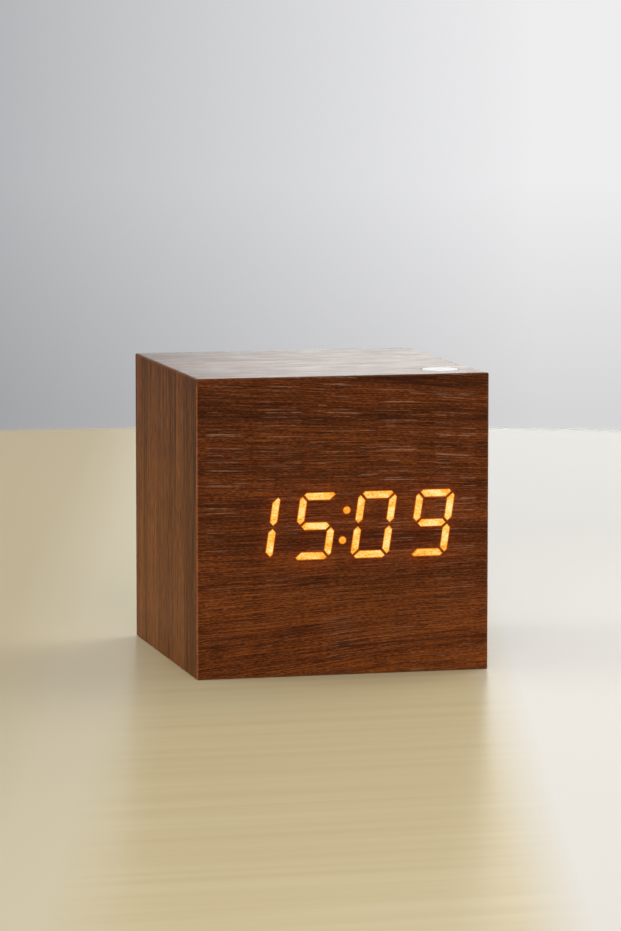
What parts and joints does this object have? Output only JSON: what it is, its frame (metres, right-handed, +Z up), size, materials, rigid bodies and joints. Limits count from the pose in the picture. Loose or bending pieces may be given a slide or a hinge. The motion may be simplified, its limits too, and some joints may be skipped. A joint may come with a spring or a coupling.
{
  "type": "digital alarm clock",
  "caption": "Cube-shaped wooden alarm clock with an amber seven-segment time display shining through its veneered front, a push button on top and a black rear cover.",
  "frame": {"origin": "middle of the base", "axes": "+Z up, the display looks along -Y, +X to the right of someone reading it"},
  "size_m": [0.068, 0.068, 0.0681],
  "materials": {
    "front_walnut": "dark reddish walnut veneer, horizontal grain, satin lacquer",
    "side_walnut": "brown walnut veneer, upright grain, satin lacquer",
    "edge_walnut": "narrow walnut veneer strips",
    "fibreboard": "medium-density fibreboard, sanded",
    "pine": "planed softwood",
    "amber_light": "thin veneer lit from behind in warm amber",
    "black_plastic": "black moulded plastic with a fine texture",
    "key_plastic": "dark grey moulded plastic, smoother than the cover",
    "white_plastic": "white moulded plastic, satin",
    "diffuser": "milky cast resin",
    "light_chip": "small light-emitting chips",
    "circuit_board": "green solder mask over glass fibre",
    "chip_black": "black moulded epoxy",
    "steel": "zinc-plated steel",
    "nickel": "nickel plate",
    "cell_jacket": "printed sleeve in one plain colour",
    "capacitor_sleeve": "dark blue shrink sleeve",
    "grey_cable": "grey flat cable",
    "red_wire": "red wire sleeve",
    "black_wire": "black wire sleeve"
  },
  "bodies": {
    "case": {"front_board": "fibreboard", "top_board": "fibreboard", "bottom_board": "fibreboard", "left_board": "fibreboard", "right_board": "fibreboard", "front_veneer": "front_walnut", "top_veneer": "front_walnut", "bottom_veneer": "front_walnut", "left_veneer": "side_walnut", "right_veneer": "side_walnut", "rear_edge_veneer": "edge_walnut", "corner_blocks": "pine", "lit_digits": "amber_light", "display_block": "black_plastic", "segment_diffusers": "diffuser", "segment_leds": "light_chip", "main_board": "circuit_board", "main_board_screws": "steel", "board_spacers": "white_plastic", "control_chip": "chip_black", "driver_chip": "chip_black", "crystal": "nickel", "coin_cell": "steel", "coin_cell_holder": "black_plastic", "sounder": "black_plastic", "microphone": "steel", "capacitor": "capacitor_sleeve", "top_switch": "chip_black", "rear_cover": "black_plastic", "cover_screws": "steel", "key_switches": "chip_black", "key_board": "circuit_board", "key_board_screws": "steel", "power_jack": "black_plastic", "power_jack_pin": "nickel", "battery_cells": "cell_jacket", "battery_springs": "steel", "battery_contacts": "nickel", "ribbon_cable": "grey_cable", "ribbon_headers": "white_plastic", "positive_lead": "red_wire", "negative_lead": "black_wire"},
    "top_key": {"top_button": "white_plastic", "top_button_ring": "steel", "top_switch_plunger": "white_plastic"},
    "set_key": {"set_button": "key_plastic", "set_plunger": "white_plastic"},
    "up_key": {"up_button": "key_plastic", "up_plunger": "white_plastic"},
    "down_key": {"down_button": "key_plastic", "down_plunger": "white_plastic"},
    "door": {"battery_door": "black_plastic"}
  },
  "joints": [
    {"name": "top_button_press", "type": "slide", "parent": "case", "child": "top_key", "axis": [0, 0, -1], "range_m": [0, 0.0003], "stiffness_N_per_m": 300},
    {"name": "set_button_press", "type": "slide", "parent": "case", "child": "set_key", "axis": [0, -1, 0], "range_m": [0, 0.0005], "stiffness_N_per_m": 300},
    {"name": "up_button_press", "type": "slide", "parent": "case", "child": "up_key", "axis": [0, -1, 0], "range_m": [0, 0.0005], "stiffness_N_per_m": 300},
    {"name": "down_button_press", "type": "slide", "parent": "case", "child": "down_key", "axis": [0, -1, 0], "range_m": [0, 0.0005], "stiffness_N_per_m": 300},
    {"name": "battery_door_swing", "type": "hinge", "parent": "case", "child": "door", "pos_m": [0, 0.032, 0.0123], "axis": [-1, 0, 0], "range_deg": [0, 95]}
  ]
}
